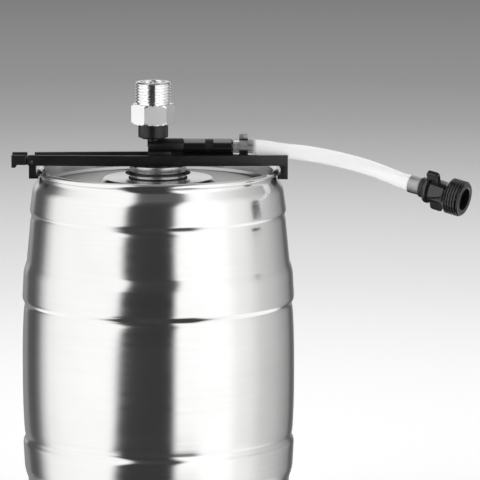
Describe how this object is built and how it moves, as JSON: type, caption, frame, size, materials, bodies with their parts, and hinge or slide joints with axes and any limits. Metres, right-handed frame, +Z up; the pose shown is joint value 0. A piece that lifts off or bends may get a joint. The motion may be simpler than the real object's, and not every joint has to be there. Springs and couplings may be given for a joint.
{
  "type": "beer keg",
  "caption": "Small steel beer keg with ring grooves, a clamped tapping head with a threaded beer outlet, and a gas hose ending in a winged connector.",
  "frame": {"origin": "centre of the keg's foot ring, on the surface it stands on", "axes": "+Z up along the keg's axis, +X along the gas arm and the clamp bar, -Y towards the front"},
  "size_m": [0.2938, 0.1752, 0.3157],
  "materials": {
    "keg_steel": "smooth rolled stainless steel with a soft polish",
    "satin_steel": "satin turned steel",
    "pin_steel": "plain drawn steel",
    "chrome": "polished chrome plate",
    "valve_brass": "machined brass",
    "rubber": "smooth black rubber",
    "black_plastic": "moulded black plastic with a fine sheen",
    "gloss_black": "glossy black plastic",
    "clear_hose": "clear flexible PVC, slightly milky"
  },
  "bodies": {
    "keg": {"keg_body": "keg_steel", "keg_top_end": "keg_steel", "keg_bottom_end": "keg_steel", "bung_seal": "rubber", "seat_ring": "satin_steel", "ring_gasket": "rubber", "compression_ring": "satin_steel", "snap_crown": "black_plastic", "clamp_bar": "black_plastic", "latch_pin": "pin_steel", "latch_spring": "pin_steel", "head_body": "black_plastic", "dip_tube": "satin_steel", "tube_oring": "rubber", "top_collar": "black_plastic", "hex_adaptor": "chrome", "outlet_washer": "rubber", "gas_arm": "gloss_black", "union_ring": "black_plastic", "hose_tail": "gloss_black", "valve_spring": "pin_steel", "hose_clamp": "satin_steel", "clamp_screw": "pin_steel", "gas_hose": "clear_hose", "connector_clamp": "satin_steel", "connector_tail": "pin_steel", "stop_ring": "black_plastic", "connector_washer": "rubber"},
    "latch": {"latch_lever": "black_plastic"},
    "poppet": {"valve_poppet": "valve_brass", "valve_seal": "rubber"},
    "connector": {"connector_body": "gloss_black"}
  },
  "joints": [
    {"name": "latch_pivot", "type": "hinge", "parent": "keg", "child": "latch", "pos_m": [-0.0806, 0, 0.26475], "axis": [0, 1, 0], "range_deg": [0, 7], "stiffness_Nm_per_rad": 0.12, "springref_deg": -20.05, "deforming": ["latch_spring"]},
    {"name": "check_valve", "type": "slide", "parent": "keg", "child": "poppet", "axis": [-1, 0, 0], "range_m": [0, 0.002], "stiffness_N_per_m": 150, "springref_m": -0.003, "deforming": ["valve_spring"]},
    {"name": "connector_swivel", "type": "hinge", "parent": "keg", "child": "connector", "pos_m": [0.1613, -0.019, 0.2525], "axis": [0.8756, -0.4378, -0.204], "continuous": true}
  ]
}
